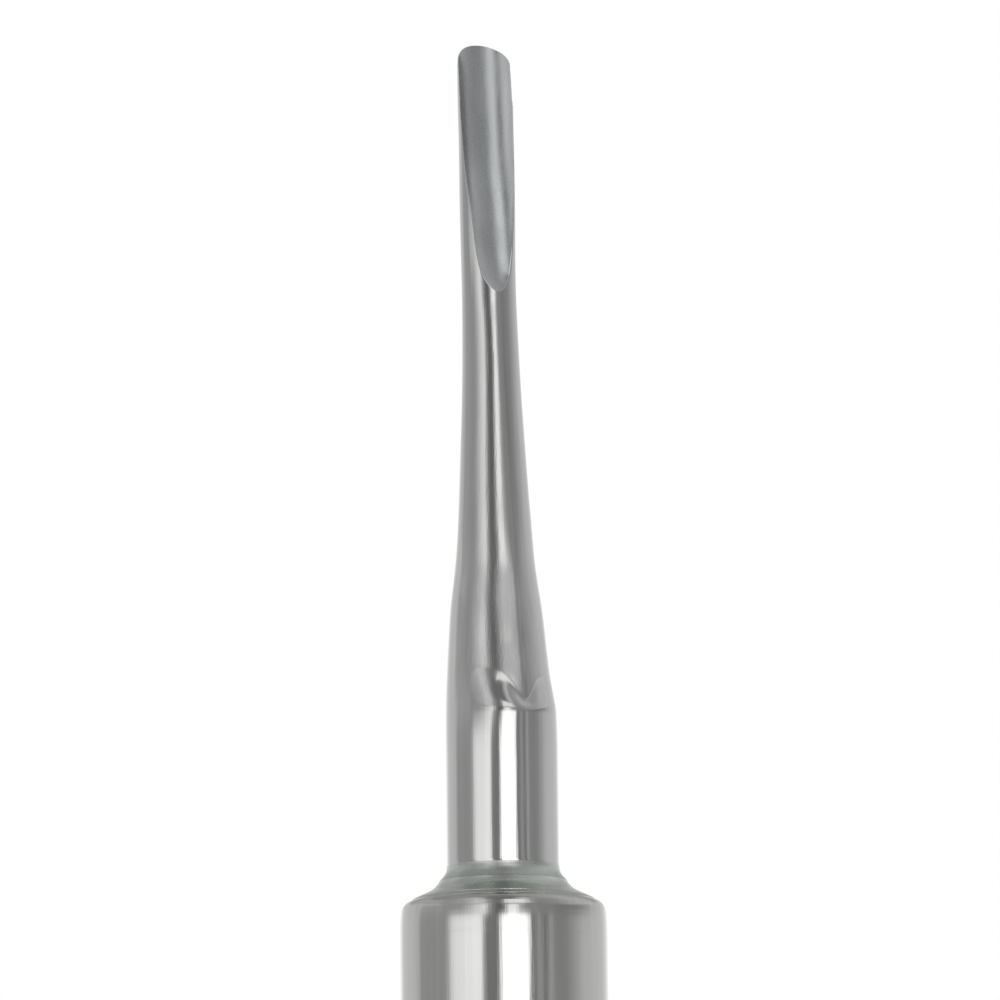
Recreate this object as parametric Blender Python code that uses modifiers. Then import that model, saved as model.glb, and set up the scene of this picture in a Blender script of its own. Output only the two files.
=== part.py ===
"""Dental elevator: a gouge-tipped working end brazed into a hollow steel handle.

Run with: blender --background --python part.py

Frame: +Z runs up the instrument from the butt to the tip, the origin is the centre of the
butt's flat face, and the gouge opens towards -Y. The instrument is symmetric about X = 0,
except that the ridge down the front of its shank leans a little towards +X.
Lengths in this file are in millimetres; MM turns them into Blender's metres.
"""

import math

import bmesh
import bpy
import numpy as np

MM = 0.001

# Overall
LENGTH = 150.3  # butt face to tip
SEAM = 0.05  # hairline left between two pieces that are pressed or brazed together

# Working end. Stations are distances down from the tip.
SHANK_RADIUS = 3.0
NOSE_LENGTH = 1.15  # the tip is rounded over this length
NOSE_POWER = 2.0  # of the superellipse that rounds it
TIP_THICKNESS = 0.5  # behind the gouge's floor, at the foot of the nose
GOUGE_END = 13.95  # where the gouge runs out in a point on the front ridge
GOUGE_RADIUS = 2.1
SHANK_END = 45.1  # the shank enters the braze and the ferrule here
HALF_WIDTH = (  # (station, half width of the section)
    (0.0, 1.55),
    (3.3, 1.55),
    (5.8, 1.52),
    (8.3, 1.525),
    (14.3, 1.47),
    (16.8, 1.51),
    (19.3, 1.59),
    (22.6, 1.75),
    (25.9, 1.93),
    (28.3, 2.12),
    (30.1, 2.36),
    (31.0, 2.50),
    (32.6, 2.64),
    (38.5, SHANK_RADIUS),
    (SHANK_END, SHANK_RADIUS),
)
MIDDLE = (  # (station, distance in front of the axis of the middle of the section's round back)
    (0.0, -1.27),
    (3.3, -1.235),
    (5.6, -1.21),
    (8.8, -1.175),
    (14.3, -1.12),
    (18.8, -0.96),
    (25.3, -0.73),
    (30.3, -0.50),
    (34.3, -0.29),
    (38.5, 0.0),
    (SHANK_END, 0.0),
)
GOUGE_FLOOR = (  # (station, distance in front of the axis of the gouge's floor)
    (0.0, -2.24),
    (2.1, -2.02),
    (4.9, -1.74),
    (6.3, -1.575),
    (7.2, -1.43),
    (7.95, -1.28),
    (9.2, -1.02),
    (10.3, -0.82),
    (11.3, -0.67),
    (11.9, -0.565),
    (12.65, -0.38),
    (13.1, -0.24),
    (13.5, -0.05),
    (GOUGE_END, 0.21),
)

# The ridge down the front, where the two ground flanks meet
RIDGE_END = 37.0  # the flanks run out into the round shank above this station
RIDGE_FADE = 0.6  # length of the run-out on the ridge itself
RIDGE_FADE_GROWTH = 2.1  # how much longer the run-out is far from the ridge
RIDGE_FADE_ANGLE = 0.29  # from the ridge, in radians, where half of that growth is reached
FRONT = (  # (station, distance in front of the axis of the ridge)
    (0.0, -0.60),
    (8.0, 0.0),
    (GOUGE_END, 0.21),
    (16.0, 0.38),
    (20.0, 0.68),
    (25.0, 1.12),
    (29.0, 1.60),
    (33.0, 2.20),
    (RIDGE_END, 2.68),
    (SHANK_END, 2.68),
)
RIDGE = (  # (station, extra radius of each flank's arc, as a share of the half width)
    (0.0, 0.55),
    (26.0, 0.55),
    (31.0, 0.80),
    (SHANK_END, 0.80),
)
RIDGE_ROUNDING = (  # (station, how much the ridge's edge is rounded)
    (0.0, 0.03),
    (12.0, 0.05),
    (16.0, 0.13),
    (26.0, 0.13),
    (29.5, 0.02),
    (SHANK_END, 0.02),
)
RIDGE_TURN = (  # (station, how far the ridge leans round towards +X, in degrees)
    (0.0, 0.0),
    (16.0, 0.0),
    (29.0, 6.0),
    (SHANK_END, 6.0),
)

# Tang, hidden in the handle. Heights are above the butt face.
TANG_SHOULDER = 101.5
TANG_RADIUS = 2.5
TANG_TAPER_TOP = 86.0
TANG_TIP_RADIUS = 1.9
TANG_TIP = 58.0
TANG_TIP_CHAMFER = 0.6

# Handle: outer radius against height, from the butt seam to the neck
HANDLE_PROFILE = (
    (6.4, 7.55),
    (14.0, 8.05),
    (26.0, 8.40),
    (38.0, 8.25),
    (50.0, 7.65),
    (62.0, 6.80),
    (72.0, 6.15),
    (80.0, 5.78),
    (88.0, 5.58),
    (94.0, 5.55),
    (101.2, 5.55),
)
SHOULDER = (  # the rounded shoulder at the handle's mouth, (height, radius)
    (102.20, 5.53),
    (102.70, 5.48),
    (102.98, 5.39),
    (103.18, 5.22),
    (103.30, 4.99),
)
WALL = 1.2
NECK_BORE_RADIUS = 4.40
NECK_BORE_END = 90.0  # the bore is straight above this height and follows the outside below it
MOUTH_SEAT = 103.0  # the step inside the mouth that the ferrule's flange sits on
FLUTE_COUNT = 8
FLUTE_RADIUS = 5.0  # of the form cutter, round the handle
FLUTE_MIDDLE = 46.0
FLUTE_HALF_LENGTH = 44.0
FLUTE_DEPTH = 0.55  # below the handle's surface, at the flute's middle

# Ferrule: the coved bush between the shank and the handle
FERRULE_COVE = (  # (height, radius), from the shank's braze down to the flange
    (104.37, 3.42),
    (104.18, 3.54),
    (104.02, 3.69),
    (103.86, 3.90),
    (103.70, 4.22),
    (103.52, 4.62),
)
FLANGE_RADIUS = 4.62
SPIGOT_FOOT = 88.5
SPIGOT_CHAMFER = 0.4

# Braze fillet round the shank, and braze ring in the handle's mouth
SHANK_BRAZE = (  # outer side, (height, radius) from the shank down to the ferrule
    (105.15, 3.07),
    (104.95, 3.11),
    (104.75, 3.19),
    (104.58, 3.28),
    (104.42, 3.39),
)
MOUTH_BRAZE_TOP = ((103.49, 4.67), (103.41, 4.83), (103.32, 4.94))

# Cross pin and tang bush, inside the handle
PIN_HEIGHT = 95.0
PIN_RADIUS = 0.8
PIN_CLEARANCE = 0.05
BUSH_FOOT = 60.0
BUSH_TOP = 65.0

# Butt cap
BUTT_FACE_RADIUS = 5.4
CAP_SIDE = (  # (height, radius), from its seam with the handle down to the flat face
    (6.00, 7.52),
    (4.20, 7.42),
    (3.00, 7.30),
    (1.80, 7.06),
    (1.00, 6.74),
    (0.40, 6.32),
    (0.08, 5.85),
    (0.00, BUTT_FACE_RADIUS),
)
CAP_SPIGOT_TOP = 13.0
CAP_SPIGOT_RADIUS = 6.28
CAP_BORE_RADIUS = 4.8
CAP_FLOOR = 2.4
CAP_CHAMFER = 0.4

SIDES = 48  # round the turned pieces
GRID_STEP = 0.01  # between the samples of a smoothed profile


# ---------------------------------------------------------------- helpers


def smooth_through(points, blur=0.0):
    """A monotone cubic through (position, value) points, then blurred so that its bends are soft."""
    x, y = np.array(points, float).T
    step = np.diff(x)
    chord = np.diff(y) / step
    slope = np.zeros_like(x)
    slope[0] = chord[0]
    slope[-1] = chord[-1]
    for i in range(1, len(x) - 1):
        if chord[i - 1] * chord[i] > 0:
            before = 2 * step[i] + step[i - 1]
            after = step[i] + 2 * step[i - 1]
            slope[i] = (before + after) / (before / chord[i - 1] + after / chord[i])
    grid = np.arange(x[0], x[-1] + GRID_STEP / 2, GRID_STEP)
    i = np.clip(np.searchsorted(x, grid, side="right") - 1, 0, len(x) - 2)
    s = (grid - x[i]) / step[i]
    value = y[i] * (1 + 2 * s) * (1 - s) ** 2 + slope[i] * step[i] * s * (1 - s) ** 2
    value += y[i + 1] * s * s * (3 - 2 * s) + slope[i + 1] * step[i] * s * s * (s - 1)
    reach = int(3 * blur / GRID_STEP)
    if reach:
        window = np.exp(-0.5 * (np.arange(-reach, reach + 1) * GRID_STEP / blur) ** 2)
        window /= window.sum()
        head = 2 * value[0] - value[reach:0:-1]
        tail = 2 * value[-1] - value[-2:-reach - 2:-1]
        value = np.convolve(np.concatenate([head, value, tail]), window, "valid")
    return lambda at: float(np.interp(at, grid, value))


def fade(share):
    """0 to 1 with a flat start and end."""
    share = min(max(share, 0.0), 1.0)
    return share * share * (3 - 2 * share)


def metal(name, colour, roughness):
    material = bpy.data.materials.new(name)
    material.use_nodes = True
    shader = material.node_tree.nodes["Principled BSDF"]
    shader.inputs["Base Color"].default_value = (*colour, 1.0)
    shader.inputs["Metallic"].default_value = 1.0
    shader.inputs["Roughness"].default_value = roughness
    return material


def collection(name):
    made = bpy.data.collections.new(name)
    bpy.context.scene.collection.children.link(made)
    return made


def object_from(name, bm, material, home):
    """An object made from a bmesh in millimetres."""
    bmesh.ops.scale(bm, vec=(MM, MM, MM), verts=bm.verts)
    mesh = bpy.data.meshes.new(name)
    bm.to_mesh(mesh)
    bm.free()
    made = bpy.data.objects.new(name, mesh)
    home.objects.link(made)
    mesh.materials.append(material)
    mesh.shade_smooth()
    mesh.set_sharp_from_angle(angle=math.radians(35))
    return made


def turned(name, profile, material, home):
    """A turned solid. Its profile is (height, radius) points, down the outer side and up the inner.

    A profile that starts and ends on the axis makes a solid with no hole; any other is closed up.
    """
    bm = bmesh.new()
    verts = [bm.verts.new((radius, 0, height)) for height, radius in profile]
    for a, b in zip(verts, verts[1:]):
        bm.edges.new((a, b))
    if profile[0][1] > 0:
        bm.edges.new((verts[-1], verts[0]))
    made = object_from(name, bm, material, home)
    screw = made.modifiers.new("Turn", "SCREW")
    screw.axis = "Z"
    screw.steps = SIDES
    screw.render_steps = SIDES
    screw.use_merge_vertices = True
    screw.merge_threshold = 1e-6
    screw.use_smooth_shade = True
    return made


def cut(target, cutter):
    """Subtracts a cutter from the target."""
    cutter.hide_render = True
    cutter.display_type = "WIRE"
    boolean = target.modifiers.new("Cut " + cutter.name, "BOOLEAN")
    boolean.operation = "DIFFERENCE"
    boolean.solver = "EXACT"
    boolean.object = cutter


def cross_rod(name, radius, length, material, home):
    """A rod along X through the axis, at the cross pin's height."""
    bm = bmesh.new()
    bmesh.ops.create_cone(
        bm, cap_ends=True, segments=16, radius1=radius, radius2=radius, depth=length
    )
    made = object_from(name, bm, material, home)
    made.rotation_euler = (0, math.pi / 2, 0)
    made.location = (0, 0, PIN_HEIGHT * MM)
    return made


# ---------------------------------------------------------------- working end

half_width = smooth_through(HALF_WIDTH, 0.5)
middle_of_back = smooth_through(MIDDLE, 0.8)
gouge_floor = smooth_through(GOUGE_FLOOR, 0.25)
front = smooth_through(FRONT, 0.25)
ridge_depth = smooth_through(RIDGE, 0.3)
ridge_rounding = smooth_through(RIDGE_ROUNDING, 0.3)
ridge_turn = smooth_through(RIDGE_TURN, 0.3)


def run_out(station, off):
    """How far the flanks have run out into the round shank, 0 to 1, at an angle off the ridge."""
    length = RIDGE_FADE + RIDGE_FADE_GROWTH * off**2 / (off**2 + RIDGE_FADE_ANGLE**2)
    return fade(1 - (RIDGE_END - station) / length)


def outline(station, angle):
    """A point of the section before the gouge is cut, (across, forward), at an angle from the ridge.

    The back is half a circle. The front is two flatter arcs that meet on a rounded ridge.
    """
    width = half_width(station)
    centre = middle_of_back(station)
    sine = abs(math.sin(angle))
    cosine = math.cos(angle)
    radius = width
    depth = 1.0
    if cosine > 1e-9:
        done = run_out(station, min(angle, 2 * math.pi - angle))
        ridge = ridge_depth(station) * (1 - done)
        recess = front(station)
        depth = (recess + (SHANK_RADIUS - recess) * done - centre) / width
        rounding = ridge_rounding(station)
        a = sine**2 + cosine**2 * (1 + 2 * ridge)
        b = ridge * (math.hypot(sine, rounding) - rounding)
        radius = width * (math.sqrt(b * b + a * (1 + 2 * ridge)) - b) / a
    across = radius * math.sin(angle)
    forward = radius * cosine * depth
    turn = math.radians(ridge_turn(station))
    return (
        across * math.cos(turn) + forward * math.sin(turn),
        centre + forward * math.cos(turn) - across * math.sin(turn),
    )


def gouge_face(station, across):
    """How far forward the gouge's face lies, at a distance across from the middle."""
    return gouge_floor(station) + GOUGE_RADIUS - math.sqrt(GOUGE_RADIUS**2 - across**2)


def rim_angle(station):
    """The angle from the ridge at which the gouge's face cuts the section."""
    low = 0.0
    high = math.pi
    for _ in range(40):
        middle = (low + high) / 2
        across, forward = outline(station, middle)
        if forward > gouge_face(station, across):
            low = middle
        else:
            high = middle
    return low


def blade_section(station, outer_count, gouge_count):
    """The points from rim to rim round the back, and those across the gouge between the rims."""
    body = max(station, NOSE_LENGTH)
    rim = rim_angle(body)
    sweep = 2 * math.pi - 2 * rim
    outer = [outline(body, rim + sweep * i / (outer_count - 1)) for i in range(outer_count)]
    rim_across, rim_forward = outer[0]
    if station < NOSE_LENGTH:
        share = (1 - (1 - station / NOSE_LENGTH) ** NOSE_POWER) ** (1 / NOSE_POWER)
        across = rim_across * share
        forward = gouge_face(station, across)
        thickness = forward - gouge_floor(station) + TIP_THICKNESS * share
        squash = thickness / (rim_forward + half_width(body) - middle_of_back(body))
        outer = [(x * share, forward + (y - rim_forward) * squash) for x, y in outer]
        rim_across = across
    gouge = []
    for i in range(1, gouge_count - 1):
        across = rim_across * (2 * i / (gouge_count - 1) - 1)
        gouge.append((across, gouge_face(station, across)))
    return outer, gouge


def between(start, end, count):
    return [start + (end - start) * i / count for i in range(count + 1)]


def build_working_end(material, home):
    """Blade, shank and tang in one piece, lofted from the tip down."""
    sides = 40
    gouge_count = 11
    blade_stations = [0.03, 0.12, 0.3, 0.65] + between(NOSE_LENGTH, 12.6, 14) + [13.2, 13.65]
    shank_stations = between(GOUGE_END, 27.5, 9)[1:] + between(28.3, 33.1, 8)
    shank_stations += between(33.8, 37.0, 16) + between(37.5, 38.5, 2) + [41.5]
    bm = bmesh.new()

    def vertex(point, station):
        across, forward = point
        return bm.verts.new((across, -forward, LENGTH - station))

    def join(upper, lower):
        for i in range(len(upper) - 1):
            corners = (upper[i], upper[i + 1], lower[i + 1], lower[i])
            bm.faces.new(corners)

    def fan(point, row):
        for a, b in zip(row, row[1:]):
            bm.faces.new((point, a, b))

    # Blade: an open strip round the back and another across the gouge, row by row.
    tip = vertex((0.0, gouge_floor(0.0)), 0.0)
    above = None
    for station in blade_stations:
        outer, gouge = blade_section(station, sides + 1, gouge_count)
        outer_row = [vertex(point, station) for point in outer]
        gouge_row = [outer_row[-1]] + [vertex(point, station) for point in gouge]
        gouge_row.append(outer_row[0])
        if above:
            join(above[0], outer_row)
            join(above[1], gouge_row)
        else:
            fan(tip, outer_row)
            fan(tip, gouge_row)
        above = (outer_row, gouge_row)

    # The gouge closes to a point on the ridge, where the strip becomes a full ring.
    point = vertex((0.0, gouge_floor(GOUGE_END)), GOUGE_END)
    fan(point, above[1])
    angles = [2 * math.pi * i / sides for i in range(sides)]
    ring = [point] + [vertex(outline(GOUGE_END, angle), GOUGE_END) for angle in angles[1:]]
    ring.append(point)
    join(above[0], ring)
    for station in shank_stations:
        below = [vertex(outline(station, angle), station) for angle in angles]
        below.append(below[0])
        join(ring, below)
        ring = below

    # Round shank, shoulder and tang.
    for height, radius in (
        (TANG_SHOULDER, SHANK_RADIUS),
        (TANG_SHOULDER, TANG_RADIUS),
        (TANG_TAPER_TOP, TANG_RADIUS),
        (TANG_TIP + TANG_TIP_CHAMFER, TANG_TIP_RADIUS),
        (TANG_TIP, TANG_TIP_RADIUS - TANG_TIP_CHAMFER),
    ):
        below = [
            vertex((radius * math.sin(angle), radius * math.cos(angle)), LENGTH - height)
            for angle in angles
        ]
        below.append(below[0])
        join(ring, below)
        ring = below
    bm.faces.new(ring[:-1])
    bmesh.ops.recalc_face_normals(bm, faces=bm.faces)
    return object_from("working_end", bm, material, home)


# ---------------------------------------------------------------- turned pieces

handle_radius = smooth_through(HANDLE_PROFILE)
BORE = [(h, r - WALL) for h, r in HANDLE_PROFILE if h < NECK_BORE_END]
BORE.append((NECK_BORE_END, NECK_BORE_RADIUS))


def bore_radius(height):
    """The handle's bore, straight between the points of its profile."""
    heights, radii = np.array(BORE).T
    return float(np.interp(height, heights, radii))


def build_handle_shell(material, home, cutters):
    """The hollow handle, fluted by long ellipsoid cutters set round it."""
    bottom = HANDLE_PROFILE[0][0]
    neck = HANDLE_PROFILE[-1][0]
    outside = list(reversed(SHOULDER))
    outside += [(h, handle_radius(h)) for h in between(neck, bottom, 24)]
    inside = BORE + [(MOUTH_SEAT, NECK_BORE_RADIUS), (MOUTH_SEAT, SHOULDER[-1][1])]
    shell = turned("handle_shell", outside + inside, material, home)
    distance = handle_radius(FLUTE_MIDDLE) - FLUTE_DEPTH + FLUTE_RADIUS
    for i in range(FLUTE_COUNT):
        angle = 2 * math.pi * (i + 0.5) / FLUTE_COUNT
        bm = bmesh.new()
        bmesh.ops.create_uvsphere(bm, u_segments=24, v_segments=24, radius=1.0)
        bmesh.ops.scale(bm, vec=(FLUTE_RADIUS, FLUTE_RADIUS, FLUTE_HALF_LENGTH), verts=bm.verts)
        cutter = object_from(f"flute_cutter_{i + 1}", bm, material, cutters)
        x = distance * math.sin(angle)
        y = -distance * math.cos(angle)
        cutter.location = (x * MM, y * MM, FLUTE_MIDDLE * MM)
        cut(shell, cutter)
    return shell


def build_ferrule(material, home, cutters):
    """The coved bush: its flange covers the handle's mouth and its spigot fills the neck."""
    spigot = NECK_BORE_RADIUS - SEAM
    tang_bore = TANG_RADIUS + SEAM
    shank_bore = SHANK_RADIUS + SEAM
    seat = TANG_SHOULDER - SEAM
    profile = list(FERRULE_COVE) + [
        (MOUTH_SEAT + SEAM, FLANGE_RADIUS),
        (MOUTH_SEAT + SEAM, spigot),
        (SPIGOT_FOOT + SPIGOT_CHAMFER, spigot),
        (SPIGOT_FOOT, spigot - SPIGOT_CHAMFER),
        (SPIGOT_FOOT, tang_bore),
        (seat, tang_bore),
        (seat, shank_bore),
        (FERRULE_COVE[0][0], shank_bore),
    ]
    ferrule = turned("ferrule", profile, material, home)
    drill = cross_rod("ferrule_drill", PIN_RADIUS + PIN_CLEARANCE, 12.0, material, cutters)
    cut(ferrule, drill)
    return ferrule


def build_brazes(material, home):
    """The braze fillet round the shank and the braze rings at the handle's two ends."""
    bore = SHANK_RADIUS + SEAM
    foot = FERRULE_COVE[0][0] + SEAM
    profile = list(SHANK_BRAZE) + [(foot, bore), (SHANK_BRAZE[0][0], bore)]
    turned("shank_braze", profile, material, home)

    inner = FLANGE_RADIUS + SEAM
    outer = SHOULDER[-1][1] - SEAM
    foot = MOUTH_SEAT + SEAM
    profile = list(MOUTH_BRAZE_TOP) + [(foot, outer), (foot, inner)]
    turned("mouth_braze", profile, material, home)

    inner = CAP_SPIGOT_RADIUS + SEAM
    top = HANDLE_PROFILE[0][0] - SEAM
    foot = CAP_SIDE[0][0] + SEAM
    middle = (top + foot) / 2
    outer = (HANDLE_PROFILE[0][1] + CAP_SIDE[0][1]) / 2
    profile = [(top, outer), (middle, outer + 0.03), (foot, outer), (foot, inner), (top, inner)]
    turned("butt_braze", profile, material, home)


def build_butt_cap(material, home):
    """The rounded cap, with a flat face to stand on and a spigot up inside the handle."""
    profile = [(CAP_FLOOR, 0.0), (CAP_FLOOR, CAP_BORE_RADIUS), (CAP_SPIGOT_TOP, CAP_BORE_RADIUS)]
    profile += [
        (CAP_SPIGOT_TOP, CAP_SPIGOT_RADIUS - CAP_CHAMFER),
        (CAP_SPIGOT_TOP - CAP_CHAMFER, CAP_SPIGOT_RADIUS),
        (CAP_SIDE[0][0], CAP_SPIGOT_RADIUS),
    ]
    profile += list(CAP_SIDE) + [(0.0, 0.0)]
    return turned("butt_cap", profile, material, home)


def tang_radius(height):
    """The tang's radius along its taper."""
    heights = (TANG_TIP + TANG_TIP_CHAMFER, TANG_TAPER_TOP)
    return float(np.interp(height, heights, (TANG_TIP_RADIUS, TANG_RADIUS)))


def build_tang_bush(material, home):
    """The tapered bush that centres the tang's lower end in the handle's bore."""
    profile = [
        (BUSH_TOP, bore_radius(BUSH_TOP) - SEAM),
        (BUSH_FOOT, bore_radius(BUSH_FOOT) - SEAM),
        (BUSH_FOOT, tang_radius(BUSH_FOOT) + SEAM),
        (BUSH_TOP, tang_radius(BUSH_TOP) + SEAM),
    ]
    return turned("tang_bush", profile, material, home)


def build_cross_pin(material, home):
    """The pin that locks the tang in the ferrule, inside the handle's neck."""
    pin = cross_rod("cross_pin", PIN_RADIUS, 2 * (NECK_BORE_RADIUS - 0.3), material, home)
    bevel = pin.modifiers.new("Chamfer", "BEVEL")
    bevel.width = 0.12 * MM
    bevel.segments = 1
    return pin


def build():
    for old in list(bpy.data.objects):
        bpy.data.objects.remove(old)
    home = collection("dental_elevator")
    cutters = collection("cutters")
    polished = metal("polished_steel", (0.60, 0.60, 0.60), 0.06)
    handle = metal("polished_handle_steel", (0.62, 0.62, 0.62), 0.07)
    collar = metal("collar_steel", (0.52, 0.54, 0.52), 0.16)
    braze = metal("silver_braze", (0.72, 0.71, 0.66), 0.22)
    hidden = metal("machined_steel", (0.48, 0.48, 0.48), 0.35)

    working_end = build_working_end(polished, home)
    drill = cross_rod("tang_drill", PIN_RADIUS + PIN_CLEARANCE, 12.0, hidden, cutters)
    cut(working_end, drill)
    build_handle_shell(handle, home, cutters)
    build_ferrule(collar, home, cutters)
    build_brazes(braze, home)
    build_butt_cap(handle, home)
    build_tang_bush(hidden, home)
    build_cross_pin(hidden, home)


build()
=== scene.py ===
"""Dental elevator: fine surfaces, finishes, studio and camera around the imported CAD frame."""

import math

import bpy
import numpy as np
from mathutils import Matrix, Vector


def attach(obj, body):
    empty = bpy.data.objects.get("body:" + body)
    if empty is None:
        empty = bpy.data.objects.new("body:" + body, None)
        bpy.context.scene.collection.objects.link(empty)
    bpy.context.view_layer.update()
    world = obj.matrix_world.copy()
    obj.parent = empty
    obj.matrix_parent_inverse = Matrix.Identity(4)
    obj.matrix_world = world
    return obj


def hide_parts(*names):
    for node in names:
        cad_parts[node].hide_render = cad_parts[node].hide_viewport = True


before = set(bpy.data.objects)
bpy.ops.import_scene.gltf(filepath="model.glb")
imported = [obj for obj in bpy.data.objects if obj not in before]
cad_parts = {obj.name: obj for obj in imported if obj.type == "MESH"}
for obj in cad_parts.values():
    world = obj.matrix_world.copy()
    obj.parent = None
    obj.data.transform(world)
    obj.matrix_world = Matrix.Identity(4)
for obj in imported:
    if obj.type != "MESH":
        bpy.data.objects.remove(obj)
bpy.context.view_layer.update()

MM = 0.001

# ------------------------------------------------------------------ the part's own dimensions, mm

LENGTH = 150.3  # butt face to tip

# Working end. Stations are distances down from the tip.
SHANK_RADIUS = 3.0
NOSE_LENGTH = 1.15  # the tip is rounded over this length
NOSE_POWER = 2.0  # of the superellipse that rounds it
TIP_THICKNESS = 0.5  # behind the gouge's floor, at the foot of the nose
GOUGE_END = 13.95  # where the gouge runs out in a point on the front ridge
GOUGE_RADIUS = 2.1
RIM_ROUNDING = 0.07  # of the edges between the gouge and the outside
RIM_ROUNDING_SHARE = 0.35  # the most that it takes of the gouge's half width near its end
RIM_SET_BACK = 0.9  # where the gouge's surface starts, as a share of the rounding
SHANK_END = 45.1  # the shank enters the braze and the collar here
HALF_WIDTH = (  # (station, half width of the section)
    (0.0, 1.55), (3.3, 1.55), (5.8, 1.52), (8.3, 1.525), (14.3, 1.47), (16.8, 1.51), (19.3, 1.59),
    (22.6, 1.75), (25.9, 1.93), (28.3, 2.12), (30.1, 2.36), (31.0, 2.50), (32.6, 2.64),
    (38.5, SHANK_RADIUS), (SHANK_END, SHANK_RADIUS),
)
MIDDLE = (  # (station, distance in front of the axis of the middle of the section's round back)
    (0.0, -1.27), (3.3, -1.235), (5.6, -1.21), (8.8, -1.175), (14.3, -1.12), (18.8, -0.96),
    (25.3, -0.73), (30.3, -0.50), (34.3, -0.29), (38.5, 0.0), (SHANK_END, 0.0),
)
GOUGE_FLOOR = (  # (station, distance in front of the axis of the gouge's floor)
    (0.0, -2.24), (2.1, -2.02), (4.9, -1.74), (6.3, -1.575), (7.2, -1.43), (7.95, -1.28),
    (9.2, -1.02), (10.3, -0.82), (11.3, -0.67), (11.9, -0.565), (12.65, -0.38), (13.1, -0.24),
    (13.5, -0.05), (GOUGE_END, 0.21),
)

# The ridge down the front, where the two ground flanks meet
RIDGE_END = 37.0  # the flanks run out into the round shank above this station
RIDGE_FADE = 0.6  # length of the run-out on the ridge itself
RIDGE_FADE_GROWTH = 2.1  # how much longer the run-out is far from the ridge
RIDGE_FADE_ANGLE = 0.29  # from the ridge, in radians, where half of that growth is reached
FRONT = (  # (station, distance in front of the axis of the ridge)
    (0.0, -0.6), (8.0, 0.0), (GOUGE_END, 0.21), (16.0, 0.38), (20.0, 0.68), (25.0, 1.12),
    (29.0, 1.60), (33.0, 2.20), (RIDGE_END, 2.68), (SHANK_END, 2.68),
)
RIDGE = (  # (station, extra radius of each flank's arc, as a share of the half width)
    (0.0, 0.55), (26.0, 0.55), (31.0, 0.80), (SHANK_END, 0.80),
)
RIDGE_ROUNDING = (  # (station, how much the ridge's edge is rounded)
    (0.0, 0.03), (12.0, 0.05), (16.0, 0.13), (26.0, 0.13), (29.5, 0.02), (SHANK_END, 0.02),
)
RIDGE_TURN = (  # (station, how far the ridge leans round towards +X, in degrees)
    (0.0, 0.0), (16.0, 0.0), (29.0, 6.0), (SHANK_END, 6.0),
)

# Heights from here on are above the butt face, and a profile's points are (height, radius).
TANG_SHOULDER = 101.5
TANG_RADIUS = 2.5
TANG = (
    (TANG_SHOULDER, SHANK_RADIUS), (TANG_SHOULDER, TANG_RADIUS), (86.0, TANG_RADIUS), (58.6, 1.9),
    (58.0, 1.3),
)

# Handle
HANDLE_FOOT = 6.4
HANDLE_PROFILE = (
    (HANDLE_FOOT, 7.55), (14.0, 8.05), (26.0, 8.40), (38.0, 8.25), (50.0, 7.65), (62.0, 6.80),
    (72.0, 6.15), (80.0, 5.78), (88.0, 5.58), (94.0, 5.55), (101.2, 5.55),
)
MOUTH_EDGE_RADIUS = 4.99
SHOULDER = (  # the rounded shoulder at the handle's mouth
    (101.2, 5.55), (102.20, 5.53), (102.70, 5.48), (102.98, 5.39), (103.18, 5.22),
    (103.30, MOUTH_EDGE_RADIUS),
)
WALL = 1.2
NECK_BORE_RADIUS = 4.40
NECK_BORE_END = 90.0  # the bore is straight above this height and follows the outside below it
MOUTH_SEAT = 103.0  # the step inside the mouth that the collar's flange sits on
FLUTE_COUNT = 8
FLUTE_RADIUS = 5.0  # of the form cutter, round the handle
FLUTE_MIDDLE = 46.0
FLUTE_HALF_LENGTH = 44.0
FLUTE_DEPTH = 0.55  # below the handle's surface, at the flute's middle
FLUTE_SOFTNESS = 0.02  # of the edge between a flute and the handle's surface

# Coved collar, between the shank and the handle
COVE = (
    (104.40, 3.405), (104.18, 3.54), (104.02, 3.69), (103.86, 3.90), (103.70, 4.22), (103.51, 4.64),
)
FLANGE_RADIUS = 4.64
SPIGOT_RADIUS = 4.35
SPIGOT_FOOT = 88.5
TANG_HOLE_RADIUS = 2.55
SHANK_SOCKET_FLOOR = 101.45
SHANK_SOCKET_RADIUS = 3.01

# Braze fillet round the shank, and braze ring in the handle's mouth
FILLET = (
    (105.20, 3.004), (105.04, 3.015), (104.88, 3.055), (104.72, 3.135), (104.57, 3.25),
    (104.41, 3.40),
)
FILLET_INNER_EDGE = (104.41, 3.0)
MOUTH_RING = ((103.495, 4.645), (103.42, 4.82), (103.31, 4.985))
MOUTH_RING_FOOT = ((103.02, 4.985), (103.02, 4.65))

# Butt cap, and the braze ring between it and the handle
CAP_SIDE = (  # from its seam with the handle down to the flat face
    (6.00, 7.52), (4.20, 7.42), (3.00, 7.30), (1.80, 7.06), (1.00, 6.74), (0.40, 6.32),
    (0.08, 5.85), (0.0, 5.40),
)
CAP_BORE_RADIUS = 4.8
CAP_FLOOR = 2.4
CAP_SPIGOT_TOP = 13.0
CAP_SPIGOT_RADIUS = 6.28
CAP_CHAMFER = 0.4
BUTT_RING = ((6.37, 7.535), (6.30, 7.555), (6.10, 7.555), (6.03, 7.53), (6.03, 6.33), (6.37, 6.33))

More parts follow.
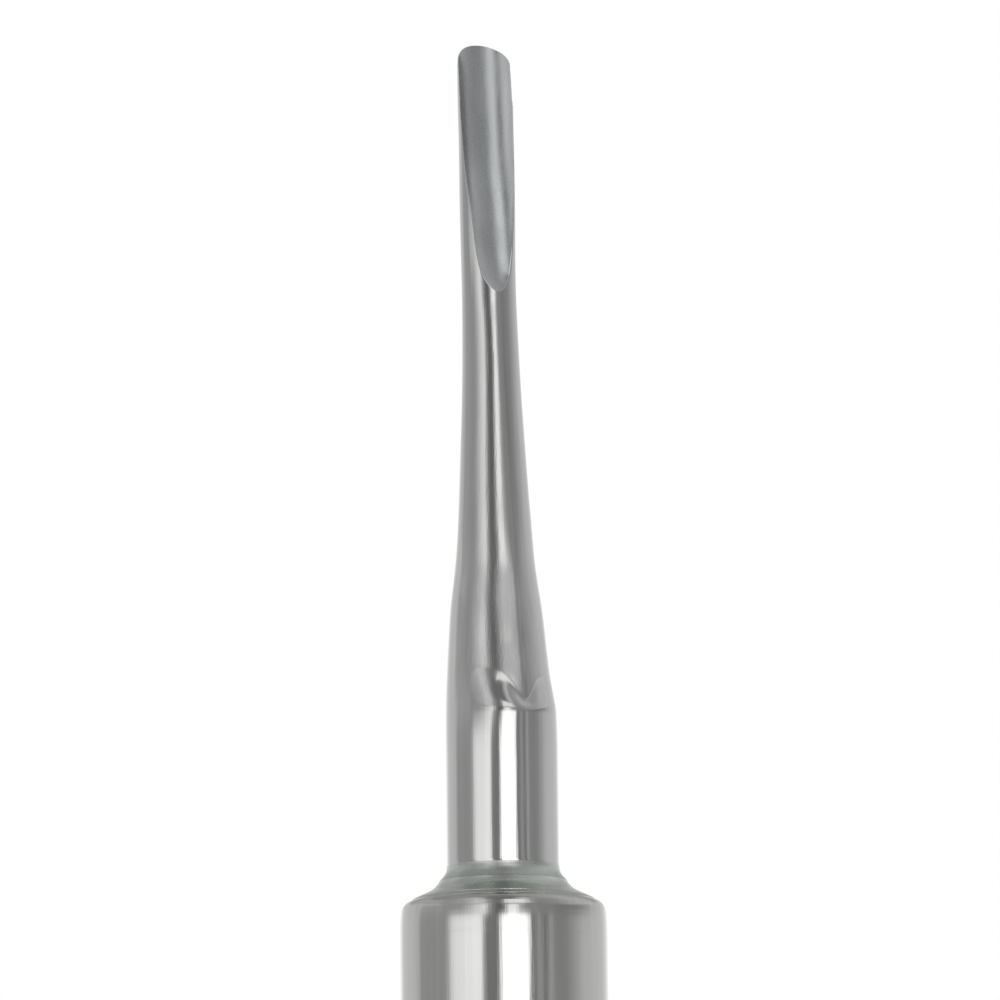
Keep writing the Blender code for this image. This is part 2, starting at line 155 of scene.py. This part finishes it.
# How finely the surfaces are made
GRID_STEP = 0.01  # between the samples of a smoothed profile
OUTER = 168  # points round the blade's outside
GOUGE = 49  # points across the gouge
RIM = 5  # points round each rim's rounded edge
NOSE_START = 0.03  # the first nose row's place, as an angle from the tip in radians
NOSE_ROWS = 26
BLADE_ROWS = 110
LAST_BLADE_ROW = 0.3  # before the gouge's end
CLOSING_ROWS = (0.23, 0.16, 0.1, 0.05, 0.02)  # before the gouge's end, past the last blade row
SHANK_ROW_GAP = 0.13
FIRST_SHANK_ROW = 0.06  # past the gouge's end
BARREL_TOP_ROW = 100.8  # the shoulder's own points take over above it
BARREL_ROW_GAP = 0.5
BARREL_COLUMNS = 320
TURNED_COLUMNS = 192
SHARP_ANGLE = 40.0  # degrees; a sharper edge isn't smoothed over

# ------------------------------------------------------------------ mesh helpers


def smooth_through(points, blur):
    """A monotone cubic through (position, value) points, then blurred so that its bends are soft."""
    x, y = np.array(points, float).T
    step = np.diff(x)
    chord = np.diff(y) / step
    slope = np.zeros_like(x)
    slope[0] = chord[0]
    slope[-1] = chord[-1]
    for i in range(1, len(x) - 1):
        if chord[i - 1] * chord[i] > 0:
            before = 2 * step[i] + step[i - 1]
            after = step[i] + 2 * step[i - 1]
            slope[i] = (before + after) / (before / chord[i - 1] + after / chord[i])
    grid = np.arange(x[0], x[-1] + GRID_STEP / 2, GRID_STEP)
    i = np.clip(np.searchsorted(x, grid, side="right") - 1, 0, len(x) - 2)
    s = (grid - x[i]) / step[i]
    value = y[i] * (1 + 2 * s) * (1 - s) ** 2 + slope[i] * step[i] * s * (1 - s) ** 2
    value += y[i + 1] * s * s * (3 - 2 * s) + slope[i + 1] * step[i] * s * s * (s - 1)
    reach = int(3 * blur / GRID_STEP)
    if reach:
        window = np.exp(-0.5 * (np.arange(-reach, reach + 1) * GRID_STEP / blur) ** 2)
        window /= window.sum()
        head = 2 * value[0] - value[reach:0:-1]
        tail = 2 * value[-1] - value[-2:-reach - 2:-1]
        value = np.convolve(np.concatenate([head, value, tail]), window, "valid")
    return lambda at: float(np.interp(at, grid, value))


def spline(points, count, steps=24):
    """A centripetal Catmull-Rom curve through 2-D points, as count evenly spaced points.

    steps is how many chords each stretch is measured with.
    """
    p = [np.array(q, float) for q in points]
    p = [2 * p[0] - p[1]] + p + [2 * p[-1] - p[-2]]
    dense = []
    for a, b, c, d in zip(p, p[1:], p[2:], p[3:]):
        ta = 0.0
        tb = ta + max(np.linalg.norm(b - a), 1e-9) ** 0.5
        tc = tb + max(np.linalg.norm(c - b), 1e-9) ** 0.5
        td = tc + max(np.linalg.norm(d - c), 1e-9) ** 0.5
        for t in np.linspace(tb, tc, steps, endpoint=False):
            ab = (tb - t) / (tb - ta) * a + (t - ta) / (tb - ta) * b
            bc = (tc - t) / (tc - tb) * b + (t - tb) / (tc - tb) * c
            cd = (td - t) / (td - tc) * c + (t - tc) / (td - tc) * d
            abc = (tc - t) / (tc - ta) * ab + (t - ta) / (tc - ta) * bc
            bcd = (td - t) / (td - tb) * bc + (t - tb) / (td - tb) * cd
            dense.append((tc - t) / (tc - tb) * abc + (t - tb) / (tc - tb) * bcd)
    dense.append(p[-2])
    dense = np.array(dense)
    along = np.concatenate([[0], np.cumsum(np.linalg.norm(np.diff(dense, axis=0), axis=1))])
    even = np.linspace(0, along[-1], count)
    return [tuple(np.interp(t, along, dense[:, k]) for k in (0, 1)) for t in even]


def faces_between(above, below):
    """Quads between two closed rings with the same number of points."""
    count = len(above)
    pairs = [(k, (k + 1) % count) for k in range(count)]
    return [(above[b], above[a], below[a], below[b]) for a, b in pairs]


def piece(name, verts, faces, material, node, second=None, second_faces=()):
    """A smooth-shaded mesh in millimetres that stands for one CAD node.

    Some of its faces may have a second material.
    """
    mesh = bpy.data.meshes.new(name)
    mesh.from_pydata([(x * MM, y * MM, z * MM) for x, y, z in verts], [], faces)
    mesh.materials.append(material)
    if second:
        mesh.materials.append(second)
        for index in second_faces:
            mesh.polygons[index].material_index = 1
    mesh.shade_smooth()
    mesh.set_sharp_from_angle(angle=math.radians(SHARP_ANGLE))
    mesh.validate()
    made = bpy.data.objects.new(name, mesh)
    bpy.context.scene.collection.objects.link(made)
    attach(made, "root")
    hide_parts(node)


def lathe(name, profile, columns, material, node, shape=None):
    """A turned piece. Its profile is (height, radius) points round its section, outside downwards.

    A profile that starts and ends on the axis is closed by two poles; any other closes on itself.
    shape(radius, height, angle) may change the radius round the piece.
    """
    verts = []
    faces = []
    rows = []
    for height, radius in profile:
        if radius < 1e-9:
            verts.append((0.0, 0.0, height))
            rows.append([len(verts) - 1])
            continue
        start = len(verts)
        for k in range(columns):
            angle = 2 * math.pi * k / columns
            r = shape(radius, height, angle) if shape else radius
            verts.append((r * math.sin(angle), -r * math.cos(angle), height))
        rows.append(list(range(start, start + columns)))
    pairs = list(zip(rows, rows[1:]))
    if profile[0][1] > 1e-9:
        pairs.append((rows[-1], rows[0]))
    for upper, lower in pairs:
        if len(upper) == 1:
            faces.extend((upper[0], a, b) for a, b in zip(lower, lower[1:] + lower[:1]))
        elif len(lower) == 1:
            faces.extend((b, a, lower[0]) for a, b in zip(upper, upper[1:] + upper[:1]))
        else:
            faces.extend(faces_between(upper, lower))
    piece(name, verts, faces, material, node)


# ------------------------------------------------------------------ finishes


def nodes_of(material):
    tree = material.node_tree
    return tree.nodes, tree.links


# A finish's noises: scale in features per metre, share of that scale up the instrument, detail
# and roughness of the noise
LINES = (9000.0, 0.02, 3.0, 0.6)
STREAKS = (3200.0, 0.008, 3.0, 0.6)
SMUDGES = (260.0, 0.5, 4.0, 0.55)
WAVES = (420.0, 0.12, 2.0, 0.4)
USUAL = (0.3, 0.7)  # most of a noise's values lie between these
SMUDGED = (0.45, 0.8)  # from a clean surface to a full smudge
DARKEST = 0.92  # of a steel's base brightness
LIGHTEST = 1.07
SMUDGE_SHARE = 0.4  # of that variation, and streaks make the rest
LINE_ROUGHNESS = 0.15  # how far the lines change the steel's roughness, as a share of it
SMUDGE_ROUGHNESS = 0.6  # what a full smudge adds to it, as a share of it


def steel(name, base, roughness, line_depth, wave_depth, tint=(1.0, 1.0, 1.0)):
    """Steel with fine lengthwise polishing lines, soft waviness and faint smudges.

    The depths are in metres.
    """
    material = bpy.data.materials.new(name)
    material.use_nodes = True
    nodes, links = nodes_of(material)
    shader = nodes["Principled BSDF"]
    shader.inputs["Metallic"].default_value = 1.0
    where = nodes.new("ShaderNodeTexCoord")

    def noise(scale, upward, detail, rough):
        mapping = nodes.new("ShaderNodeMapping")
        mapping.inputs["Scale"].default_value = (1.0, 1.0, upward)
        links.new(where.outputs["Object"], mapping.inputs["Vector"])
        made = nodes.new("ShaderNodeTexNoise")
        made.inputs["Scale"].default_value = scale
        made.inputs["Detail"].default_value = detail
        made.inputs["Roughness"].default_value = rough
        links.new(mapping.outputs["Vector"], made.inputs["Vector"])
        return made.outputs["Fac"]

    def ramp(factor, low, high, a, b):
        made = nodes.new("ShaderNodeMapRange")
        made.inputs["From Min"].default_value = low
        made.inputs["From Max"].default_value = high
        made.inputs["To Min"].default_value = a
        made.inputs["To Max"].default_value = b
        links.new(factor, made.inputs["Value"])
        return made.outputs["Result"]

    def total(a, b):
        made = nodes.new("ShaderNodeMath")
        made.operation = "ADD"
        links.new(a, made.inputs[0])
        links.new(b, made.inputs[1])
        return made.outputs["Value"]

    def bump(height, depth):
        made = nodes.new("ShaderNodeBump")
        made.inputs["Strength"].default_value = 1.0
        made.inputs["Distance"].default_value = depth
        links.new(height, made.inputs["Height"])
        return made

    lines = noise(*LINES)
    smudge = noise(*SMUDGES)
    spread = roughness * LINE_ROUGHNESS
    line_roughness = ramp(lines, *USUAL, roughness - spread, roughness + spread)
    smudge_roughness = ramp(smudge, *SMUDGED, 0.0, roughness * SMUDGE_ROUGHNESS)
    links.new(total(line_roughness, smudge_roughness), shader.inputs["Roughness"])

    mix = nodes.new("ShaderNodeMix")
    mix.data_type = "RGBA"
    mix.inputs["A"].default_value = (*[base * DARKEST * t for t in tint], 1.0)
    mix.inputs["B"].default_value = (*[base * LIGHTEST * t for t in tint], 1.0)
    smudge_colour = ramp(smudge, *USUAL, 0.0, SMUDGE_SHARE)
    streak_colour = ramp(noise(*STREAKS), *USUAL, 0.0, 1 - SMUDGE_SHARE)
    links.new(total(smudge_colour, streak_colour), mix.inputs["Factor"])
    links.new(mix.outputs["Result"], shader.inputs["Base Color"])

    waves = bump(noise(*WAVES), wave_depth)
    fine = bump(lines, line_depth)
    links.new(waves.outputs["Normal"], fine.inputs["Normal"])
    links.new(fine.outputs["Normal"], shader.inputs["Normal"])
    return material


polished = steel("polished_steel", 0.60, 0.07, 3e-6, 2e-5, tint=(0.99, 1.0, 0.985))
gouge_steel = steel("ground_gouge", 0.56, 0.26, 1e-7, 5e-6, tint=(0.97, 1.0, 1.01))
barrel_steel = steel("handle_steel", 0.60, 0.06, 3e-6, 3e-5, tint=(1.0, 1.0, 0.98))
collar_steel = steel("collar_steel", 0.69, 0.24, 1.5e-6, 2e-5, tint=(0.95, 1.0, 0.94))
braze = steel("silver_braze", 0.61, 0.28, 1.5e-6, 4e-5, tint=(0.95, 1.0, 0.95))
machined = steel("machined_steel", 0.50, 0.35, 3e-6, 1e-5)

# ------------------------------------------------------------------ working end

half_width = smooth_through(HALF_WIDTH, blur=0.5)
middle = smooth_through(MIDDLE, blur=0.8)
front = smooth_through(FRONT, blur=0.25)
gouge_floor = smooth_through(GOUGE_FLOOR, blur=0.25)
ridge_depth = smooth_through(RIDGE, blur=0.3)
ridge_turn = smooth_through(RIDGE_TURN, blur=0.3)
ridge_rounding = smooth_through(RIDGE_ROUNDING, blur=0.3)


def fade(share):
    """0 to 1 with a flat start and end."""
    share = min(max(share, 0.0), 1.0)
    return share * share * (3 - 2 * share)


def section(station):
    """The section before the gouge is cut, as a function of the angle from the front.

    The back is half a circle. The front is two flatter arcs that meet on a rounded ridge, and
    they fade into the round shank at the ridge's end. The whole section leans with the ridge.
    """
    width = half_width(station)
    centre = middle(station)
    recess = front(station)
    full_ridge = ridge_depth(station)
    rounding = ridge_rounding(station)
    turn = math.radians(ridge_turn(station))

    def turned_point(across, forward):
        return (
            across * math.cos(turn) + forward * math.sin(turn),
            centre + forward * math.cos(turn) - across * math.sin(turn),
        )

    def at(angle):
        cosine = math.cos(angle)
        if cosine <= 1e-9:
            return turned_point(width * math.sin(angle), width * cosine)
        sine = abs(math.sin(angle))
        off = min(angle, 2 * math.pi - angle)
        length = RIDGE_FADE + RIDGE_FADE_GROWTH * off**2 / (off**2 + RIDGE_FADE_ANGLE**2)
        faded = fade(1 - (RIDGE_END - station) / length)
        ridge = full_ridge * (1 - faded)
        depth = (recess + (SHANK_RADIUS - recess) * faded - centre) / width
        a = sine**2 + cosine**2 * (1 + 2 * ridge)
        b = ridge * (math.hypot(sine, rounding) - rounding)
        radius = width * (math.sqrt(b * b + a * (1 + 2 * ridge)) - b) / a
        return turned_point(radius * math.sin(angle), radius * cosine * depth)

    return at


def gouge_face(floor, across):
    """How far forward the gouge's surface is, at a distance across from its floor."""
    return floor + GOUGE_RADIUS - math.sqrt(GOUGE_RADIUS**2 - across**2)


def rim_angle(outline, floor):
    """The angle at which the gouge's surface cuts the outline, found by halving."""
    low = 0.0
    high = math.pi
    for _ in range(40):
        half_way = (low + high) / 2
        across, forward = outline(half_way)
        if forward > gouge_face(floor, across):
            low = half_way
        else:
            high = half_way
    return low


def blade_ring(station):
    """One closed ring of the blade: right rim, round the back, left rim, and across the gouge."""
    body = max(station, NOSE_LENGTH)
    outline = section(body)
    floor = gouge_floor(body)
    rim = rim_angle(outline, floor)
    rim_across, rim_forward = outline(rim)
    share = 1.0
    squash = 1.0
    forward = rim_forward
    if station < NOSE_LENGTH:
        share = (1 - (1 - station / NOSE_LENGTH) ** NOSE_POWER) ** (1 / NOSE_POWER)
        floor = gouge_floor(station)
        forward = gouge_face(floor, rim_across * share)
        thickness = forward - floor + TIP_THICKNESS * share
        squash = thickness / (rim_forward + half_width(body) - middle(body))
    rounding = min(RIM_ROUNDING, RIM_ROUNDING_SHARE * rim_across) * share
    start = rim + rounding / half_width(body)
    sweep = 2 * math.pi - 2 * start
    outer = []
    for i in range(OUTER):
        x, y = outline(start + sweep * i / (OUTER - 1))
        outer.append((x * share, forward + (y - rim_forward) * squash))
    edge = rim_across * share - rounding * RIM_SET_BACK
    gouge = []
    for i in range(GOUGE):
        across = edge * (2 * i / (GOUGE - 1) - 1)
        gouge.append((across, gouge_face(floor, across)))

    def rounded(a, corner, b):
        made = []
        for i in range(1, RIM + 1):
            t = i / (RIM + 1)
            made.append(tuple(
                (1 - t) ** 2 * a[k] + 2 * t * (1 - t) * corner[k] + t * t * b[k] for k in (0, 1)
            ))
        return made

    left = rounded(outer[-1], (-rim_across * share, forward), gouge[0])
    right = rounded(gouge[-1], (rim_across * share, forward), outer[0])
    return outer + left + gouge + right


def build_working_end():
    verts = []
    faces = []
    ground = []  # the faces of the gouge

    def add(points, station):
        start = len(verts)
        verts.extend((x, -y, LENGTH - station) for x, y in points)
        return list(range(start, start + len(points)))

    turns = np.linspace(NOSE_START, math.pi / 2, NOSE_ROWS)
    blade = [NOSE_LENGTH * (1 - math.cos(turn)) for turn in turns]
    blade += list(np.linspace(NOSE_LENGTH, GOUGE_END - LAST_BLADE_ROW, BLADE_ROWS))[1:]
    blade += [GOUGE_END - gap for gap in CLOSING_ROWS]
    verts.append((0.0, -gouge_floor(0.0), LENGTH))
    above = add(blade_ring(blade[0]), blade[0])
    faces.extend((0, a, b) for a, b in zip(above, above[1:] + above[:1]))
    for station in blade[1:]:
        row = add(blade_ring(station), station)
        first = len(faces) + OUTER + RIM
        ground.extend(range(first, first + GOUGE - 1))
        faces.extend(faces_between(above, row))
        above = row

    # The gouge ends in a point on the ridge, where the outer strip closes into a full ring.
    # The last row's points across the gouge all join that point.
    outline = section(GOUGE_END)
    angles = [2 * math.pi * i / (OUTER - 1) for i in range(OUTER - 1)]
    point = (0.0, gouge_floor(GOUGE_END))
    ring = add([point] + [outline(angle) for angle in angles[1:]], GOUGE_END)
    closed = ring + [ring[0]]
    for k in range(OUTER - 1):
        faces.append((above[k + 1], above[k], closed[k], closed[k + 1]))
    inner = above[OUTER - 1:] + [above[0]]
    faces.extend((b, a, ring[0]) for a, b in zip(inner, inner[1:]))

    for station in np.arange(GOUGE_END + FIRST_SHANK_ROW, SHANK_END, SHANK_ROW_GAP):
        outline = section(station)
        row = add([outline(angle) for angle in angles], station)
        faces.extend(faces_between(ring, row))
        ring = row
    for height, radius in TANG:
        points = [(radius * math.sin(angle), radius * math.cos(angle)) for angle in angles]
        row = add(points, LENGTH - height)
        faces.extend(faces_between(ring, row))
        ring = row
    faces.append(tuple(reversed(ring)))
    piece(
        "blade_and_shank", verts, faces, polished, "working_end",
        second=gouge_steel, second_faces=ground,
    )


build_working_end()

# ------------------------------------------------------------------ collar, brazes, handle, butt

collar_inside = [
    (MOUTH_SEAT, FLANGE_RADIUS), (MOUTH_SEAT, SPIGOT_RADIUS), (SPIGOT_FOOT, SPIGOT_RADIUS),
    (SPIGOT_FOOT, TANG_HOLE_RADIUS), (SHANK_SOCKET_FLOOR, TANG_HOLE_RADIUS),
    (SHANK_SOCKET_FLOOR, SHANK_SOCKET_RADIUS), (COVE[0][0], SHANK_SOCKET_RADIUS),
]
lathe(
    "coved_collar", spline(COVE, 60) + collar_inside, TURNED_COLUMNS, collar_steel, "ferrule",
)
lathe(
    "shank_fillet", spline(FILLET, 40) + [FILLET_INNER_EDGE], TURNED_COLUMNS, braze, "shank_braze",
)
lathe(
    "mouth_ring", spline(MOUTH_RING, 14) + list(MOUTH_RING_FOOT), TURNED_COLUMNS, braze,
    "mouth_braze",
)

handle_radius = smooth_through(HANDLE_PROFILE, blur=2.0)
flute_distance = handle_radius(FLUTE_MIDDLE) - FLUTE_DEPTH + FLUTE_RADIUS


def barrel_shape(radius, height, angle):
    """The barrel's radius at an angle, where a flute may be cut into its outside."""
    inside = radius < handle_radius(height) - WALL / 4
    reach = 1 - ((height - FLUTE_MIDDLE) / FLUTE_HALF_LENGTH) ** 2
    if inside or reach <= 0:
        return radius
    turn = 2 * math.pi / FLUTE_COUNT
    off = (angle % turn) - turn / 2
    spare = FLUTE_RADIUS**2 * reach - (flute_distance * math.sin(off)) ** 2
    if spare <= 0:
        return radius
    cut = flute_distance * math.cos(off) - math.sqrt(spare)
    blend = max(FLUTE_SOFTNESS - abs(cut - radius), 0.0) / FLUTE_SOFTNESS
    return min(cut, radius) - blend * blend * FLUTE_SOFTNESS / 4


barrel_heights = np.arange(BARREL_TOP_ROW, HANDLE_FOOT, -BARREL_ROW_GAP)
outside = spline(list(reversed(SHOULDER)), 50)
outside += [(h, handle_radius(h)) for h in barrel_heights] + [HANDLE_PROFILE[0]]
bore = [(h, r - WALL) for h, r in HANDLE_PROFILE if h < NECK_BORE_END]
bore += [(NECK_BORE_END, NECK_BORE_RADIUS), (MOUTH_SEAT, NECK_BORE_RADIUS)]
bore += [(MOUTH_SEAT, MOUTH_EDGE_RADIUS)]
lathe(
    "handle_barrel", outside + bore, BARREL_COLUMNS, barrel_steel, "handle_shell",
    barrel_shape,
)
lathe("butt_ring", BUTT_RING, TURNED_COLUMNS, braze, "butt_braze")
cap_inside = [
    (CAP_FLOOR, 0.0), (CAP_FLOOR, CAP_BORE_RADIUS), (CAP_SPIGOT_TOP, CAP_BORE_RADIUS),
    (CAP_SPIGOT_TOP, CAP_SPIGOT_RADIUS - CAP_CHAMFER),
    (CAP_SPIGOT_TOP - CAP_CHAMFER, CAP_SPIGOT_RADIUS), (CAP_SIDE[0][0], CAP_SPIGOT_RADIUS),
]
lathe(
    "butt_dome", cap_inside + spline(CAP_SIDE, 60) + [(0.0, 0.0)], TURNED_COLUMNS, barrel_steel,
    "butt_cap",
)

# These two are hidden in the handle and keep their CAD shapes.
for name in ("tang_bush", "cross_pin"):
    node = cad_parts[name]
    node.data.materials.clear()
    node.data.materials.append(machined)

# ------------------------------------------------------------------ camera

# In metres and degrees. The azimuth goes round from the front, -Y, towards +X.
VIEW_AZIMUTH = -23.0
VIEW_DISTANCE = 0.50
VIEW_HEIGHT = 0.052
AIM_HEIGHT = 0.1250
AIM_SIDE = 0.00004  # right of the instrument's axis
ROLL = 0.6
LENS = 338.0
SENSOR = 36.0

azimuth_turn = math.radians(VIEW_AZIMUTH)
toward = Vector((math.sin(azimuth_turn), -math.cos(azimuth_turn), 0.0))
right = Vector((math.cos(azimuth_turn), math.sin(azimuth_turn), 0.0))


def add_camera():
    """A long lens low in front, which looks up at the blade and shank."""
    data = bpy.data.cameras.new("camera")
    data.lens = LENS
    data.sensor_width = SENSOR
    data.clip_start = 0.01
    camera = bpy.data.objects.new("camera", data)
    bpy.context.scene.collection.objects.link(camera)
    camera.location = toward * VIEW_DISTANCE + Vector((0, 0, VIEW_HEIGHT))
    aim = right * AIM_SIDE + Vector((0, 0, AIM_HEIGHT))
    look = (aim - camera.location).to_track_quat("-Z", "Y").to_matrix().to_4x4()
    camera.rotation_euler = (look @ Matrix.Rotation(-math.radians(ROLL), 4, "Z")).to_euler()
    bpy.context.scene.camera = camera


add_camera()

# ------------------------------------------------------------------ studio

TENT_RADIUS = 2.2
TENT_CENTRE = Vector((0, 0, 0.12))
BRIGHTEST = 2.5  # the brightness that a colour of 1 stands for

# Brightness round the tent at one elevation, as (azimuth in degrees, brightness) stops. Azimuth 0
# is on the camera's side, and + is to its right. Two softboxes stand in front, a wide one on the
# left and a bright one just right of the middle.
LOWEST_BAND = (
    (-180, 1.08), (-158, 1.0), (-148, 0.76), (-113, 0.66), (-105, 0.42), (-70, 0.38), (-64, 0.55),
    (-59, 1.05), (-50, 1.2), (-26, 1.32), (-21, 0.42), (-18, 0.24), (-13, 0.27), (-9, 0.24),
    (-6, 0.34), (-1, 1.9), (3, 2.1), (25, 2.0), (28, 1.5), (31, 0.30), (35, 0.24), (40, 0.44),
    (43, 0.40), (47, 0.21), (54, 0.50), (58, 0.34), (70, 0.32), (80, 0.39), (100, 0.66),
    (145, 0.76), (160, 1.0), (180, 1.08),
)
HIGHER_BANDS = (  # (starts to take over, has taken over, stops), by elevation in degrees
    (5, 14, (
        (-180, 0.70), (-150, 0.72), (-130, 0.68), (-112, 0.64), (-104, 0.50), (-85, 0.46),
        (-64, 0.40), (-50, 0.44), (-39, 0.66), (-29, 0.97), (-21, 1.08), (-16, 0.52), (-11, 0.25),
        (-6, 0.16), (-1, 0.20), (3, 0.55), (7, 1.28), (14, 1.28), (19, 0.60), (26, 0.40),
        (32, 0.36), (40, 0.34), (50, 0.33), (62, 0.31), (70, 0.28), (80, 0.29), (95, 0.34),
        (110, 0.50), (125, 0.66), (150, 0.72), (180, 0.75),
    )),
    (18, 24, (
        (-180, 0.36), (-150, 0.50), (-125, 0.64), (-105, 0.62), (-88, 0.58), (-75, 0.45),
        (-64, 0.40), (-52, 0.42), (-42, 0.50), (-32, 0.66), (-25, 0.82), (-20, 0.80), (-15, 0.45),
        (-9, 0.20), (-4, 0.20), (3, 0.46), (8, 0.64), (16, 0.66), (23, 0.58), (28, 0.36),
        (34, 0.33), (44, 0.32), (60, 0.38), (72, 0.42), (82, 0.50), (91, 0.58), (101, 0.66),
        (115, 0.70), (130, 0.68), (150, 0.50), (180, 0.36),
    )),
    (24.5, 27.5, (
        (-180, 0.34), (-150, 0.48), (-125, 0.56), (-88, 0.50), (-75, 0.42), (-62, 0.44),
        (-50, 0.50), (-42, 0.60), (-34, 0.80), (-24, 0.74), (-16, 0.36), (-6, 0.20), (0, 0.45),
        (4, 1.10), (20, 1.15), (30, 0.85), (36, 0.42), (44, 0.36), (60, 0.40), (72, 0.45),
        (82, 0.50), (101, 0.62), (115, 0.66), (130, 0.62), (150, 0.48), (180, 0.34),
    )),
    (41, 46, (
        (-180, 0.34), (-100, 0.38), (-75, 0.40), (-62, 0.50), (-50, 0.65), (-38, 0.72), (-30, 0.5),
        (-22, 0.28), (-10, 0.22), (14, 0.22), (24, 0.55), (32, 0.70), (40, 0.46), (50, 0.40),
        (72, 0.45), (91, 0.55), (110, 0.60), (140, 0.50), (160, 0.45), (180, 0.34),
    )),
    (56, 68, (
        (-180, 0.38), (-60, 0.38), (-30, 0.26), (25, 0.26), (50, 0.38), (90, 0.50), (180, 0.38),
    )),
)


def add_light_tent():
    """A light tent round the stage: a plain light wall with softboxes and dark gaps."""
    bpy.ops.mesh.primitive_ico_sphere_add(subdivisions=6, radius=TENT_RADIUS, location=TENT_CENTRE)
    dome = bpy.context.object
    dome.name = "light_tent"
    dome.visible_camera = False
    dome.visible_shadow = False
    material = bpy.data.materials.new("light_tent")
    material.use_nodes = True
    material.cycles.emission_sampling = "NONE"
    nodes, links = nodes_of(material)
    nodes.clear()
    out = nodes.new("ShaderNodeOutputMaterial")
    glow = nodes.new("ShaderNodeEmission")
    links.new(glow.outputs["Emission"], out.inputs["Surface"])
    place = nodes.new("ShaderNodeNewGeometry")

    def math_node(operation, a, b=None):
        made = nodes.new("ShaderNodeMath")
        made.operation = operation
        for k, value in enumerate((a, b)):
            if value is None:
                continue
            if isinstance(value, (int, float)):
                made.inputs[k].default_value = value
            else:
                links.new(value, made.inputs[k])
        return made.outputs["Value"]

    from_centre = nodes.new("ShaderNodeVectorMath")
    from_centre.operation = "SUBTRACT"
    from_centre.inputs[1].default_value = TENT_CENTRE
    links.new(place.outputs["Position"], from_centre.inputs[0])

    def along(direction):
        """How far a point of the tent is from its centre, along a direction."""
        made = nodes.new("ShaderNodeVectorMath")
        made.operation = "DOT_PRODUCT"
        made.inputs[1].default_value = direction
        links.new(from_centre.outputs["Vector"], made.inputs[0])
        return made.outputs["Value"]

    degree = math.degrees(1)
    azimuth = math_node("MULTIPLY", math_node("ARCTAN2", along(right), along(toward)), degree)
    elevation = math_node("MULTIPLY", math_node("ARCSINE", along((0, 0, 1 / TENT_RADIUS))), degree)

    def band(stops):
        """Brightness round the tent at one height, through (azimuth, brightness) stops."""
        made = nodes.new("ShaderNodeValToRGB")
        ramp = made.color_ramp
        for i, (at, bright) in enumerate(stops):
            if i < 2:
                stop = ramp.elements[i]
                stop.position = (at + 180) / 360
            else:
                stop = ramp.elements.new((at + 180) / 360)
            stop.color = (*[bright / BRIGHTEST] * 3, 1.0)
        links.new(math_node("DIVIDE", math_node("ADD", azimuth, 180), 360), made.inputs["Fac"])
        return made.outputs["Color"]

    def above(lower, upper, start, end):
        """The lower brightness below one elevation and the upper one above another."""
        share = nodes.new("ShaderNodeMapRange")
        share.interpolation_type = "SMOOTHSTEP"
        share.inputs["From Min"].default_value = start
        share.inputs["From Max"].default_value = end
        links.new(elevation, share.inputs["Value"])
        mix = nodes.new("ShaderNodeMix")
        mix.data_type = "RGBA"
        links.new(share.outputs["Result"], mix.inputs["Factor"])
        links.new(lower, mix.inputs["A"])
        links.new(upper, mix.inputs["B"])
        return mix.outputs["Result"]

    look = band(LOWEST_BAND)
    for start, end, stops in HIGHER_BANDS:
        look = above(look, band(stops), start, end)
    links.new(look, glow.inputs["Color"])
    glow.inputs["Strength"].default_value = BRIGHTEST
    dome.data.materials.append(material)


FLOOR_RADIUS = 1.2
FLOOR_SIDES = 96
FLOOR_COLOUR = (0.84, 0.84, 0.83, 1.0)
KEY_PLACE = Vector((-0.5, 0.35, 1.1))
KEY_WIDTH = 0.7
KEY_WATTS = 12.0


def add_floor():
    """A plain pale disc under the instrument."""
    mesh = bpy.data.meshes.new("floor")
    turns = [2 * math.pi * k / FLOOR_SIDES for k in range(FLOOR_SIDES)]
    points = [(FLOOR_RADIUS * math.cos(t), FLOOR_RADIUS * math.sin(t), 0) for t in turns]
    mesh.from_pydata(points, [], [tuple(range(FLOOR_SIDES))])
    floor = bpy.data.objects.new("floor", mesh)
    bpy.context.scene.collection.objects.link(floor)
    material = bpy.data.materials.new("floor")
    material.use_nodes = True
    nodes, _ = nodes_of(material)
    shader = nodes["Principled BSDF"]
    shader.inputs["Base Color"].default_value = FLOOR_COLOUR
    shader.inputs["Roughness"].default_value = 0.7
    mesh.materials.append(material)


def add_key_light():
    """A soft light from above on the left, a little behind, which isn't seen in reflections."""
    data = bpy.data.lights.new("key", "AREA")
    data.shape = "DISK"
    data.size = KEY_WIDTH
    data.energy = KEY_WATTS
    key = bpy.data.objects.new("key", data)
    bpy.context.scene.collection.objects.link(key)
    key.location = KEY_PLACE
    key.rotation_euler = (-KEY_PLACE).to_track_quat("-Z", "Y").to_euler()
    key.visible_glossy = False


def add_white_world():
    world = bpy.data.worlds.new("studio")
    world.use_nodes = True
    background = world.node_tree.nodes["Background"]
    background.inputs["Color"].default_value = (1.0, 1.0, 1.0, 1.0)
    background.inputs["Strength"].default_value = 1.0
    bpy.context.scene.world = world


add_light_tent()
add_floor()
add_key_light()
add_white_world()
bpy.context.scene.view_settings.view_transform = "Standard"
